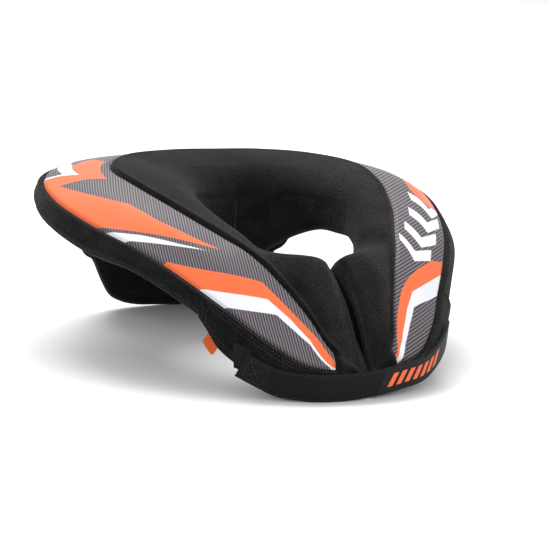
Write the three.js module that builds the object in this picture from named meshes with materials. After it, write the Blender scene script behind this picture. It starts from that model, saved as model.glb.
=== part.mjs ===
// Motocross neck brace for a young rider: a horseshoe of padded foam, open at the front, with a
// printed panel on each side, a webbing strap across the front and a padded flap at the back.
// Millimetres, +Z up. The front is towards -Y and the wearer's right towards -X.
// The brace rests on the lower edges of the strap and of the back flap, at z = 0. It is drawn with
// the collar's own frame level, and then tipped forward as it rests.
import * as THREE from "three";

// Collar: every section in the table below is a share of these two sizes.
const COLLAR_REACH = 170; // plan radius of the outer border at the back corners
const COLLAR_RISE = 119; // height of the crest at the back
const PLAN_CENTRE_Y = -16; // the middle of the neck opening, which all sections look out from
const LAPEL_GAP = 5; // between the two front ends
const LAPEL_ROUNDING = 1.6; // edge radius of a front end
const CREST_ROUNDING = 9; // how far a front end's crest is rounded down towards the gap
const SHOULDER_SWELL = 2.6; // how far the border swells between the outer seam and the rim, at most
const PANEL_BULGE = 6; // how far the padding swells between the two panel seams, at most

// Rest
const RESTING_TIP = 3.4; // degrees
const RESTING_LIFT = 8.3;
const RESTING_SHIFT = 2.6; // along Y, so that the origin is under the middle

// Printed panels
const PANEL_THICKNESS = 1.5;
const PANEL_TIP_ANGLE = 12; // degrees from the front, where a panel starts
const SEAT = 0.35; // clearance between seated pieces

// Webbing, patches and tab
const STRAP_WIDTH = 19;
const STRAP_THICKNESS = 1.6;
const STRAP_SLANT = 3; // degrees by which the folded end's upper corner is cut back
const LABEL_START = 2; // degrees past the front middle, on the wearer's left
const PATCH_THICKNESS = 1.2;
const PATCH_STEPS = 8; // corners across a patch
const ANCHOR_FRONT = 39.5; // degrees from the front, on the wearer's right
const ANCHOR_BACK = 45.4;
const ANCHOR_SLANT = 1.2;
const ANCHOR_HEIGHT = 17;
const ANCHOR_THICKNESS = 1.1;
const TAB_WIDTH = 14;
const TAB_LENGTH = 15;
const TAB_THICKNESS = 2.2;
const TAB_ANGLE = 51.8; // degrees from the front, on the wearer's right
const TAB_ROOT_INSET = 4.1; // its root from the border's widest line, inwards
const TAB_ROOT_DROP = 5; // its root from the rim, downwards

// Back flap
const FLAP_HALF_WIDTH = 95;
const FLAP_DEPTH = 55; // height of the flared part of its outline
const FLAP_THICKNESS = 8;
const FLAP_DROP = 16; // its lowest point under the level of the strap
const FLAP_INSET = 14; // its middle from the back rim, inwards
const FLAP_PLAN_RADIUS = 500;
const FLAP_COLUMNS = 12; // on each side of its middle

const COLOURS = {
  cover: 0x1c1c1e,
  print: 0xe87a4d,
  patch: 0x202022,
  webbing: 0x26262b,
  anchor: 0x3a3a3f,
  label: 0x2c2c31,
  tab: 0xf07a3c,
};

// A row is one section of the collar, seen along its border. Angle is in degrees from the front
// middle to the back middle, and swell is the share of PANEL_BULGE there. Each point is
// [plan radius / COLLAR_REACH, height / COLLAR_RISE].
const SECTIONS = [
  // angle, swell, foot (inner lower edge), crest, inner seam, outer seam, rim, under edge
  row(0, 0.1, [0.31, 0.43], [0.375, 0.67], [0.69, 0.17], [0.715, 0.135], [0.72, 0.09], [0.69, 0.035]),
  row(10, 0.2, [0.31, 0.43], [0.38, 0.685], [0.675, 0.24], [0.71, 0.17], [0.72, 0.1], [0.69, 0.04]),
  row(12, 0.2, [0.31, 0.435], [0.38, 0.69], [0.67, 0.26], [0.715, 0.175], [0.72, 0.1], [0.69, 0.04]),
  row(20, 0.4, [0.305, 0.465], [0.39, 0.7], [0.59, 0.415], [0.72, 0.195], [0.725, 0.115], [0.695, 0.055]),
  row(35, 0.6, [0.305, 0.52], [0.395, 0.7], [0.505, 0.6], [0.694, 0.308], [0.725, 0.195], [0.69, 0.135]),
  row(50, 0.7, [0.3, 0.575], [0.41, 0.71], [0.47, 0.71], [0.672, 0.44], [0.715, 0.34], [0.675, 0.3]),
  row(65, 0.8, [0.3, 0.615], [0.41, 0.775], [0.465, 0.765], [0.695, 0.563], [0.74, 0.475], [0.7, 0.43]),
  row(80, 0.9, [0.305, 0.635], [0.445, 0.825], [0.495, 0.82], [0.757, 0.673], [0.815, 0.585], [0.765, 0.54]),
  row(95, 1, [0.325, 0.645], [0.505, 0.88], [0.555, 0.875], [0.858, 0.741], [0.92, 0.63], [0.87, 0.58]),
  row(110, 0.8, [0.345, 0.635], [0.595, 0.93], [0.65, 0.925], [0.98, 0.812], [1.03, 0.71], [0.98, 0.66]),
  row(125, 0.4, [0.37, 0.62], [0.7, 0.97], [0.76, 0.955], [1.038, 0.85], [1.07, 0.775], [1.02, 0.725]),
  row(140, 0.15, [0.39, 0.55], [0.725, 0.975], [0.78, 0.965], [1.02, 0.864], [1.045, 0.81], [0.995, 0.755]),
  row(160, 0.1, [0.395, 0.405], [0.65, 0.99], [0.7, 0.98], [0.935, 0.879], [0.975, 0.81], [0.925, 0.76]),
  row(180, 0.1, [0.395, 0.31], [0.61, 0.99], [0.66, 0.985], [0.895, 0.88], [0.94, 0.81], [0.89, 0.76]),
];

// The strap's lower edge: angle from the front middle, negative on the wearer's right, its height
// as a share of STRAP_WIDTH, and how far its inner face stands off the rim, as a share of its
// thickness. It is fastened higher on the wearer's left.
const STRAP_PATH = [
  { angle: -43.5, height: 0.66, off: 2.8 },
  { angle: -38, height: 0.44, off: 2.7 },
  { angle: -31, height: 0.13, off: 1.7 },
  { angle: -23, height: 0.04, off: 1.5 },
  { angle: -14, height: 0, off: 1.5 },
  { angle: 0, height: 0.1, off: 1.5 },
  { angle: 13, height: 0.24, off: 1.5 },
  { angle: 26, height: 0.42, off: 1.5 },
  { angle: 36, height: 0.85, off: 1.5 },
  { angle: 42, height: 1.15, off: 1.5 },
];

// The patches: how far up the border a patch reaches from the rim, and how far it hangs below the
// rim, as a share of STRAP_WIDTH. The left one, behind the strap's higher end, hangs less.
const PATCH_EDGE = [
  { angle: 17, reach: 0.85, drop: 0.4 },
  { angle: 26, reach: 0.85, drop: 0.55 },
  { angle: 35, reach: 0.87, drop: 0.65 },
  { angle: 44, reach: 0.88, drop: 0.72 },
  { angle: 51, reach: 0.86, drop: 0.62 },
  { angle: 54, reach: 0.78, drop: 0.36 },
  { angle: 57.5, reach: 0.5, drop: 0.1 },
];
const LEFT_PATCH_END = 53;
const LEFT_DROP = 0.35;

// The flap's lower outline from its middle out: [x / FLAP_HALF_WIDTH, height / FLAP_DEPTH].
const FLAP_OUTLINE = [
  [0, 0],
  [0.19, 0.02],
  [0.43, 0.06],
  [0.55, 0.12],
  [0.67, 0.25],
  [0.75, 0.46],
  [0.84, 0.74],
  [0.96, 0.93],
  [1, 1.1],
];

function row(angle, swell, foot, crest, seamIn, seamOut, rim, under) {
  return { angle, swell, foot, crest, seamIn, seamOut, rim, under };
}

// Smooth value of a table's columns at x, by cubic pieces with averaged slopes. Columns that are
// pairs are read out as pairs.
function smooth(xs, ys, x, mirrorEnd) {
  const n = xs.length;
  const mirrored = (i) => [2 * xs[n - 1] - xs[2 * n - 2 - i], ys[2 * n - 2 - i]];
  const at = (i) => (mirrorEnd && i >= n ? mirrored(i) : [xs[i], ys[i]]);
  const last = mirrorEnd ? 2 * n - 2 : n - 1;
  const slope = (i) => {
    const [x1, y1] = at(i);
    if (i === 0) return (at(1)[1] - y1) / (at(1)[0] - x1);
    if (i === last) return (y1 - at(i - 1)[1]) / (x1 - at(i - 1)[0]);
    const [x0, y0] = at(i - 1);
    const [x2, y2] = at(i + 1);
    return ((x2 - x1) * ((y1 - y0) / (x1 - x0)) + (x1 - x0) * ((y2 - y1) / (x2 - x1))) / (x2 - x0);
  };
  let k = 0;
  while (k < n - 2 && x > xs[k + 1]) k++;
  const [xa, ya] = at(k);
  const [xb, yb] = at(k + 1);
  const h = xb - xa;
  const s = (x - xa) / h;
  return (
    (2 * s ** 3 - 3 * s ** 2 + 1) * ya +
    (s ** 3 - 2 * s ** 2 + s) * h * slope(k) +
    (3 * s ** 2 - 2 * s ** 3) * yb +
    (s ** 3 - s ** 2) * h * slope(k + 1)
  );
}

const SECTION_ANGLES = SECTIONS.map((s) => s.angle);

// A named point of the section at an angle, as (plan radius, height).
function sectionPoint(name, angle) {
  const value = (k) => smooth(SECTION_ANGLES, SECTIONS.map((s) => s[name][k]), angle, true);
  return new THREE.Vector2(value(0) * COLLAR_REACH, value(1) * COLLAR_RISE);
}

// Control points round the section at an angle, from the inner lower edge outwards, over the rim,
// the panel and the crest, and down the wall of the neck opening.
function sectionControls(angle) {
  const foot = sectionPoint("foot", angle);
  const crest = sectionPoint("crest", angle);
  const seamIn = sectionPoint("seamIn", angle);
  const seamOut = sectionPoint("seamOut", angle);
  const rim = sectionPoint("rim", angle);
  const under = sectionPoint("under", angle);
  const between = (a, b, t) => a.clone().lerp(b, t);
  // Square to the way from a to b, on its left.
  const outward = (a, b, d) => {
    const v = b.clone().sub(a);
    return new THREE.Vector2(-v.y, v.x).normalize().multiplyScalar(d);
  };
  const share = smooth(SECTION_ANGLES, SECTIONS.map((s) => s.swell), angle, true);
  const lapWidth = seamIn.distanceTo(crest);
  const width = crest.x - foot.x;
  const height = crest.y - foot.y;
  // The roll from the crest into the opening is a flattened quarter of an oval.
  const roll = (degrees) => {
    const a = (degrees * Math.PI) / 180;
    const inwards = width * Math.sin(a) ** 0.87;
    return new THREE.Vector2(crest.x - inwards, crest.y - 0.62 * height * (1 - Math.cos(a) ** 0.87));
  };
  return [
    ["inner", foot.clone().add(new THREE.Vector2(-1, 3)), 2],
    ["foot", foot.clone().add(new THREE.Vector2(5, -1.5)), 3],
    ["underside", between(foot, under, 0.5).add(new THREE.Vector2(0, -1)), 3],
    ["under", under, 3],
    ["rim", rim, 2],
    ["shoulder", between(rim, seamOut, 0.55).add(outward(seamOut, rim, SHOULDER_SWELL * share)), 2],
    ["seamOut", seamOut, 3],
    ["panel", between(seamOut, seamIn, 0.5).add(outward(seamIn, seamOut, PANEL_BULGE * share)), 3],
    ["seamIn", seamIn, 2],
    ["lap", between(seamIn, crest, 0.5).add(outward(crest, seamIn, Math.min(3.5, lapWidth * 0.08))), 1],
    ["crest", crest, 2],
    ["rollTop", roll(33), 2],
    ["rollSide", roll(62), 2],
    ["wall", new THREE.Vector2(foot.x - 1, foot.y + 0.3 * height), 2],
  ];
}

// The section's outline: points sampled along a smooth closed curve through the control points.
function sectionOutline(angle) {
  const controls = sectionControls(angle);
  const n = controls.length;
  const points = [];
  const names = [];
  for (let k = 0; k < n; k++) {
    const p = [-1, 0, 1, 2].map((j) => controls[(k + j + n) % n][1]);
    const t = [0];
    for (let j = 1; j < 4; j++) t.push(t[j - 1] + Math.sqrt(p[j].distanceTo(p[j - 1])));
    const mix = (a, b, ta, tb, x) => a.clone().lerp(b, (x - ta) / (tb - ta));
    const steps = controls[k][2];
    for (let j = 0; j < steps; j++) {
      const x = t[1] + ((t[2] - t[1]) * j) / steps;
      const a = [0, 1, 2].map((i) => mix(p[i], p[i + 1], t[i], t[i + 1], x));
      const b = [0, 1].map((i) => mix(a[i], a[i + 1], t[i], t[i + 2], x));
      points.push(mix(b[0], b[1], t[1], t[2], x));
      names.push(j === 0 ? controls[k][0] : "");
    }
  }
  return { points, names };
}

// Outward normals of an open or closed run of section points, which goes anticlockwise.
function normals(points, closed) {
  const n = points.length;
  return points.map((p, i) => {
    const a = points[closed ? (i - 1 + n) % n : Math.max(0, i - 1)];
    const b = points[closed ? (i + 1) % n : Math.min(n - 1, i + 1)];
    return new THREE.Vector2(b.y - a.y, a.x - b.x).normalize();
  });
}

// A section point in space. The two halves part by LAPEL_GAP at the front and meet at the back.
function place(point, angle, side, shift = 0) {
  const a = (angle * Math.PI) / 180;
  const apart = (LAPEL_GAP / 2) * (angle < 90 ? 1 : Math.sin(a));
  return new THREE.Vector3(
    side * (Math.hypot(point.x * Math.sin(a), apart) + shift),
    PLAN_CENTRE_Y - point.x * Math.cos(a),
    point.y,
  );
}

// A closed body through rings of equal length, with flat triangulated ends.
function loft(rings) {
  const m = rings[0].length;
  const position = [];
  for (const ring of rings) for (const p of ring) position.push(p.x, p.y, p.z);
  const index = [];
  for (let i = 0; i + 1 < rings.length; i++) {
    const next = i + 1;
    for (let j = 0; j < m; j++) {
      const k = (j + 1) % m;
      index.push(i * m + j, next * m + j, next * m + k);
      index.push(i * m + j, next * m + k, i * m + k);
    }
  }
  const cap = (i, flip) => {
    const ring = rings[i];
    const normal = new THREE.Vector3();
    for (let j = 0; j < m; j++) normal.add(ring[j].clone().cross(ring[(j + 1) % m]));
    const u = ring[0].clone().sub(ring[Math.floor(m / 2)]).normalize();
    const v = normal.normalize().clone().cross(u);
    const flat = ring.map((p) => new THREE.Vector2(p.dot(u), p.dot(v)));
    for (const [a, b, c] of THREE.ShapeUtils.triangulateShape(flat, [])) {
      const ab = flat[b].clone().sub(flat[a]);
      const turn = ab.cross(flat[c].clone().sub(flat[a])) > 0;
      const [d, e] = turn === flip ? [c, b] : [b, c];
      index.push(i * m + a, i * m + d, i * m + e);
    }
  };
  cap(0, false);
  cap(rings.length - 1, true);
  return facingOut(position, index);
}

// A geometry whose faces point outwards.
function facingOut(position, index) {
  let volume = 0;
  const at = (i) => new THREE.Vector3().fromArray(position, 3 * i);
  for (let i = 0; i < index.length; i += 3) {
    volume += at(index[i]).dot(at(index[i + 1]).cross(at(index[i + 2])));
  }
  if (volume < 0) {
    for (let i = 0; i < index.length; i += 3) [index[i + 1], index[i + 2]] = [index[i + 2], index[i + 1]];
  }
  const geometry = new THREE.BufferGeometry();
  geometry.setAttribute("position", new THREE.Float32BufferAttribute(position, 3));
  geometry.setIndex(index);
  geometry.computeVertexNormals();
  return geometry;
}

function angles(from, to, step) {
  const count = Math.ceil((to - from) / step);
  return Array.from({ length: count + 1 }, (_, i) => from + ((to - from) * i) / count);
}

// The collar's sections behind the panel's tip, in degrees.
const STATIONS = angles(PANEL_TIP_ANGLE, 175, 5).slice(1);

// The rings of a front end, by their distance from it.
const END_SHIFTS = [0, 0.4, 1.2, 2.8, 5];

// The two ends of a run of sections, and the collar's own sections between them.
function stationsBetween(from, to) {
  return [from, ...STATIONS.filter((angle) => angle > from + 1 && angle < to - 1), to];
}

// The collar's ring at an angle. The recess is as deep as the panel and its clearance behind the
// panel's tip, and nearly nothing before it.
function collarRing(angle, side, { shift = 0, depth = PANEL_THICKNESS + SEAT } = {}) {
  const { points, names } = sectionOutline(angle);
  const start = names.indexOf("seamOut");
  const end = names.indexOf("seamIn");
  const normal = normals(points, true);
  const out = [];
  const inset = angle === 0 ? roundedBy(LAPEL_ROUNDING, shift) : 0;
  points.forEach((p, i) => {
    const skin = p.clone().addScaledVector(normal[i], -inset);
    const floor = skin.clone().addScaledVector(normal[i], -depth);
    if (i === start) out.push(skin, floor);
    else if (i === end) out.push(floor, skin);
    else if (i > start && i < end) out.push(floor);
    else out.push(skin);
  });
  // The two seams' corners are doubled in the ring, so the places of the named points move on.
  const lap = names.indexOf("lap") + 2;
  const crest = names.indexOf("crest") + 2;
  const wall = names.indexOf("wall") + 2;
  return out.map((p, i) => {
    const placed = place(p, angle, side, shift);
    const rise = THREE.MathUtils.smoothstep(i, lap - 1, crest);
    const high = rise * (1 - THREE.MathUtils.smoothstep(i, wall - 2, wall + 1));
    const fromGap = angle < 90 ? Math.abs(placed.x) - LAPEL_GAP / 2 : CREST_ROUNDING;
    placed.z -= high * roundedBy(CREST_ROUNDING, fromGap);
    return placed;
  });
}

// How far a rounded edge of this radius lies under its full height, at a distance from its end.
function roundedBy(radius, distance) {
  const bite = Math.max(0, radius - Math.max(0, distance));
  return radius - Math.sqrt(radius ** 2 - bite ** 2);
}

function collarGeometry() {
  const shallow = { depth: 0.02 };
  const half = (side) => [
    ...END_SHIFTS.map((shift) => collarRing(0, side, { ...shallow, shift })),
    ...[9, PANEL_TIP_ANGLE - 0.15].map((angle) => collarRing(angle, side, shallow)),
    collarRing(PANEL_TIP_ANGLE, side),
    ...STATIONS.map((angle) => collarRing(angle, side)),
  ];
  return loft([...half(-1), collarRing(180, -1), ...half(1).reverse()]);
}

// A printed panel: a thin skin between the two seams, its edges turned down into the recess.
function panelRing(angle, side) {
  const { points, names } = sectionOutline(angle);
  const band = points.slice(names.indexOf("seamOut"), names.indexOf("seamIn") + 1);
  const normal = normals(band, false);
  const last = band.length - 1;
  const pull = (from, to) => from.clone().add(to.clone().sub(from).setLength(SEAT + 0.1));
  const inside = band.slice();
  inside[0] = pull(band[0], band[1]);
  inside[last] = pull(band[last], band[last - 1]);
  const proud = (i) => (i === 0 || i === last ? -0.5 : 0.15);
  const outer = inside.map((p, i) => p.clone().addScaledVector(normal[i], proud(i)));
  const inner = inside.map((p, i) => p.clone().addScaledVector(normal[i], -PANEL_THICKNESS));
  return [...outer, ...inner.reverse()].map((p) => place(p, angle, side));
}

function panelGeometry(side) {
  const start = PANEL_TIP_ANGLE + 0.25;
  const rows = [start, ...STATIONS, 180 - 0.12];
  return loft(rows.map((angle) => panelRing(angle, side)));
}

// The plan radius of the border where it stands out most.
function borderReach(angle) {
  const { points, names } = sectionOutline(angle);
  return Math.max(...points.slice(names.indexOf("under"), names.indexOf("seamOut")).map((p) => p.x));
}

// A patch's ring: down the border from just under the panel seam, and then hanging.
function patchRing(angle, side) {
  const edgeAngles = PATCH_EDGE.map((s) => s.angle);
  const edge = (name) => smooth(edgeAngles, PATCH_EDGE.map((s) => s[name]), angle, false);
  const { points, names } = sectionOutline(angle);
  const reach = borderReach(angle);
  const run = points.slice(names.indexOf("rim"), names.indexOf("seamOut") + 1);
  const widest = run.findIndex((p) => p.x === reach);
  const border = run.map((p, i) => (i < widest ? new THREE.Vector2(reach, p.y) : p));
  const normal = normals(border, false);
  const skin = (off) => {
    const line = [];
    for (let i = 0; i <= PATCH_STEPS; i++) {
      const x = (edge("reach") * (border.length - 1) * i) / PATCH_STEPS;
      const k = Math.min(border.length - 2, Math.floor(x));
      const a = border[k].clone().addScaledVector(normal[k], off);
      const b = border[k + 1].clone().addScaledVector(normal[k + 1], off);
      line.push(a.lerp(b, x - k));
    }
    return line;
  };
  const drop = edge("drop") * STRAP_WIDTH * (side < 0 ? 1 : LEFT_DROP);
  const hang = (off) => new THREE.Vector2(reach + off, border[0].y - Math.max(1, drop));
  const near = SEAT + 0.1;
  const outer = [hang(near + PATCH_THICKNESS), ...skin(near + PATCH_THICKNESS)];
  const inner = [hang(near), ...skin(near)];
  return [...outer, ...inner.reverse()].map((p) => place(p, angle, side));
}

function patchGeometry(side) {
  const last = side < 0 ? PATCH_EDGE[PATCH_EDGE.length - 1].angle : LEFT_PATCH_END;
  return loft(stationsBetween(PATCH_EDGE[0].angle, last).map((angle) => patchRing(angle, side)));
}

// A column of the strap's table at a signed angle.
function strapColumn(name, x) {
  return smooth(STRAP_PATH.map((s) => s.angle), STRAP_PATH.map((s) => s[name]), x, false);
}

// A point at a signed angle in degrees, by its plan radius and height.
function onRadius(radius, degrees, z) {
  const a = (degrees * Math.PI) / 180;
  return new THREE.Vector3(radius * Math.sin(a), PLAN_CENTRE_Y - radius * Math.cos(a), z);
}

// The strap's four edges at a signed angle. Near its folded end its upper edge runs ahead of the
// lower one, because the end is cut on a slant.
function strapRing(angle) {
  const corner = (standing, up) => {
    const x = angle + (up && angle < 0 ? STRAP_SLANT * (angle / STRAP_PATH[0].angle) ** 4 : 0);
    const off = PATCH_THICKNESS * strapColumn("off", x) + standing * STRAP_THICKNESS;
    const z = (strapColumn("height", x) + up) * STRAP_WIDTH;
    return onRadius(borderReach(Math.abs(x)) + SEAT + off, x, z);
  };
  return [corner(0, 0), corner(1, 0), corner(1, 1), corner(0, 1)];
}

// The grey webbing behind the folded end. Its lower edge is set forward.
function anchorRing(angle) {
  const corner = (off, up) => {
    const x = up ? angle : angle + ANCHOR_SLANT;
    const r = borderReach(-x) + SEAT + 0.1 + PATCH_THICKNESS + SEAT + off;
    const low = strapColumn("height", Math.max(x, STRAP_PATH[0].angle)) + 0.25;
    return onRadius(r, x, low * STRAP_WIDTH + up * ANCHOR_HEIGHT);
  };
  return [corner(0, 0), corner(ANCHOR_THICKNESS, 0), corner(ANCHOR_THICKNESS, 1), corner(0, 1)];
}

function anchorGeometry() {
  return loft(angles(-ANCHOR_BACK, -ANCHOR_FRONT, 3).map(anchorRing));
}

function strapGeometry(from, to) {
  return loft(angles(from, to, 3).map(strapRing));
}

// The pull tab: a short ribbon that points out and down from under the right rim.
function tabGeometry() {
  const shape = new THREE.Shape();
  const w = TAB_WIDTH / 2;
  const r = 1.5;
  shape.moveTo(-w, 0);
  shape.lineTo(w, 0);
  shape.lineTo(w, TAB_LENGTH - r);
  shape.quadraticCurveTo(w, TAB_LENGTH, w - r, TAB_LENGTH);
  shape.lineTo(-w + r, TAB_LENGTH);
  shape.quadraticCurveTo(-w, TAB_LENGTH, -w, TAB_LENGTH - r);
  shape.closePath();
  return new THREE.ExtrudeGeometry(shape, { depth: TAB_THICKNESS, bevelEnabled: false, curveSegments: 3 });
}

// Height of the collar's underside over a plan point.
function undersideHeight(x, y) {
  const radius = Math.hypot(x, y - PLAN_CENTRE_Y);
  const angle = (Math.atan2(Math.abs(x), -(y - PLAN_CENTRE_Y)) * 180) / Math.PI;
  const { points, names } = sectionOutline(angle);
  const run = points.slice(names.indexOf("foot"), names.indexOf("rim"));
  for (let i = 0; i + 1 < run.length; i++) {
    if (radius >= run[i].x && radius <= run[i + 1].x) {
      return run[i].y + ((run[i + 1].y - run[i].y) * (radius - run[i].x)) / (run[i + 1].x - run[i].x);
    }
  }
  return run[run.length - 1].y;
}

// The back flap: upright columns from its outline up to the collar's underside.
function flapGeometry() {
  const columns = [];
  const setback = sectionPoint("rim", 180).x - FLAP_INSET;
  const across = FLAP_OUTLINE.map((p) => p[0]);
  const up = FLAP_OUTLINE.map((p) => p[1]);
  const turn = (Math.PI / 2) * 0.92;
  for (let i = -FLAP_COLUMNS; i <= FLAP_COLUMNS; i++) {
    const share = Math.sin((i / FLAP_COLUMNS) * turn) / Math.sin(turn);
    const x = share * FLAP_HALF_WIDTH;
    const low = smooth(across, up, Math.abs(share), false) * FLAP_DEPTH - FLAP_DROP;
    const mid = PLAN_CENTRE_Y + setback - x ** 2 / (2 * FLAP_PLAN_RADIUS);
    const half = FLAP_THICKNESS / 2;
    const top = (y) => undersideHeight(x, y) - 2 * SEAT;
    const ring = [];
    for (const degrees of [0, 45, 90, 135, 180]) {
      const a = (degrees * Math.PI) / 180;
      ring.push(new THREE.Vector3(x, mid - half * Math.cos(a), low + half * (1 - Math.sin(a))));
    }
    ring.push(new THREE.Vector3(x, mid + half, top(mid + half)));
    ring.push(new THREE.Vector3(x, mid - half, top(mid - half)));
    columns.push(ring);
  }
  return loft(columns);
}

const brace = new THREE.Group();
brace.name = "neck_brace";

function add(name, geometry, color, roughness) {
  const mesh = new THREE.Mesh(geometry, new THREE.MeshStandardMaterial({ color, roughness, metalness: 0 }));
  mesh.name = name;
  brace.add(mesh);
  return mesh;
}

add("collar_body", collarGeometry(), COLOURS.cover, 0.9);
add("panel_right", panelGeometry(-1), COLOURS.print, 0.55);
add("panel_left", panelGeometry(1), COLOURS.print, 0.55);
add("anchor_patch_right", patchGeometry(-1), COLOURS.patch, 0.85);
add("anchor_patch_left", patchGeometry(1), COLOURS.patch, 0.85);
add("strap_anchor", anchorGeometry(), COLOURS.anchor, 0.8);
const strapEnds = [STRAP_PATH[0].angle, STRAP_PATH[STRAP_PATH.length - 1].angle];
add("strap_web", strapGeometry(strapEnds[0], LABEL_START - 0.1), COLOURS.webbing, 0.8);
add("strap_label", strapGeometry(LABEL_START + 0.1, strapEnds[1]), COLOURS.label, 0.6);
add("back_flap", flapGeometry(), COLOURS.cover, 0.9);

// The tab's ribbon faces half outwards, and runs down and a little back from behind the patch.
const tab = add("pull_tab", tabGeometry(), COLOURS.tab, 0.7);
const tabAngle = (TAB_ANGLE * Math.PI) / 180;
const outwards = new THREE.Vector3(-Math.sin(tabAngle), -Math.cos(tabAngle), 0);
const backwards = new THREE.Vector3(-Math.cos(tabAngle), Math.sin(tabAngle), 0);
const along = backwards.clone().multiplyScalar(0.45).add(new THREE.Vector3(0, 0, -0.91)).normalize();
const across = outwards.clone().multiplyScalar(0.75).addScaledVector(backwards, -1);
across.add(new THREE.Vector3(0, 0, -0.5)).normalize();
tab.setRotationFromMatrix(new THREE.Matrix4().makeBasis(across, along, across.clone().cross(along)));
tab.position.copy(outwards).multiplyScalar(borderReach(TAB_ANGLE) - TAB_ROOT_INSET);
tab.position.z = sectionPoint("rim", TAB_ANGLE).y - TAB_ROOT_DROP;
tab.position.y += PLAN_CENTRE_Y;

brace.rotation.x = (RESTING_TIP * Math.PI) / 180;
brace.position.set(0, RESTING_SHIFT, RESTING_LIFT);
const rested = new THREE.Group().add(brace);

export default rested;
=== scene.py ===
# Motocross neck brace: the finished look of every piece, in metres, +Z up, front towards -Y.
import math

import bpy
import numpy as np
from mathutils import Matrix, Vector


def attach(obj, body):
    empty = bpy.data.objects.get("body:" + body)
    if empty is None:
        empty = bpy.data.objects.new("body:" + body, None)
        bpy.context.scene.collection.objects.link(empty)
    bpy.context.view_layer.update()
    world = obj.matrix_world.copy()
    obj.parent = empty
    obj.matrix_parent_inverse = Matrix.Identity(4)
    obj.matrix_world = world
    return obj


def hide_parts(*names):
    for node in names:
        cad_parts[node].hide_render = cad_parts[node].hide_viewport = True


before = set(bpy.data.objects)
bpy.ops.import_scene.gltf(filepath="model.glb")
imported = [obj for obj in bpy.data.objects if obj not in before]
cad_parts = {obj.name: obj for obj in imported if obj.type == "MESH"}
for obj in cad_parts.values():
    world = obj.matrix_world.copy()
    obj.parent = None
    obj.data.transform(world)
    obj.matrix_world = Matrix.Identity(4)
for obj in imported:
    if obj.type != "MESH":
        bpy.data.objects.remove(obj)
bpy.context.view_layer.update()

# Camera
CAMERA_PLACE = (-0.6709, -1.0533, 0.3262)
CAMERA_AZIMUTH = -32.7  # degrees from the front
CAMERA_ELEVATION = 12.25
CAMERA_ROLL = 4.7
CAMERA_LENS = 115.08  # mm, on a 36 mm sensor

# Collar
COLLAR_REACH = 0.170  # plan radius of the outer border at the back corners
COLLAR_RISE = 0.119  # height of the crest at the back
PLAN_CENTRE_Y = -0.016
LAPEL_GAP = 0.005
LAPEL_ROUNDING = 0.0016
CREST_ROUNDING = 0.009
SHOULDER_SWELL = 0.0026
PANEL_BULGE = 0.006
RESTING_TIP = math.radians(3.4)
RESTING_SHIFT = 0.0026
RESTING_LIFT = 0.0083

# Cloth
PANEL_THICKNESS = 0.0015
PANEL_TIP_ANGLE = 12  # degrees from the front
SEAT = 0.00035
SEAM_DEPTH = 0.0012
SEAM_WIDTH = 0.0013
RECESS = PANEL_THICKNESS + SEAT + 0.00025  # how deep the cover lies under a panel

# Webbing, patches and tab
STRAP_WIDTH = 0.019
STRAP_THICKNESS = 0.0016
STRAP_SLANT = 3  # degrees
LABEL_START = 2
PATCH_THICKNESS = 0.0012
PATCH_HEIGHT = 0.024  # about, for the places of its edge and stitches
PATCH_RADIUS = 0.12  # about, the border's plan radius there
ANCHOR_FRONT = 39.5
ANCHOR_BACK = 45.4
ANCHOR_SLANT = 1.2
ANCHOR_HEIGHT = 0.017
ANCHOR_THICKNESS = 0.0011
TAB_WIDTH = 0.014
TAB_LENGTH = 0.015
TAB_THICKNESS = 0.0022
TAB_ANGLE = 51.8
TAB_ROOT_INSET = 0.0041
TAB_ROOT_DROP = 0.005

# Back flap
FLAP_HALF_WIDTH = 0.095
FLAP_DEPTH = 0.055
FLAP_THICKNESS = 0.008
FLAP_DROP = 0.016
FLAP_INSET = 0.014
FLAP_PLAN_RADIUS = 0.5

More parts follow.
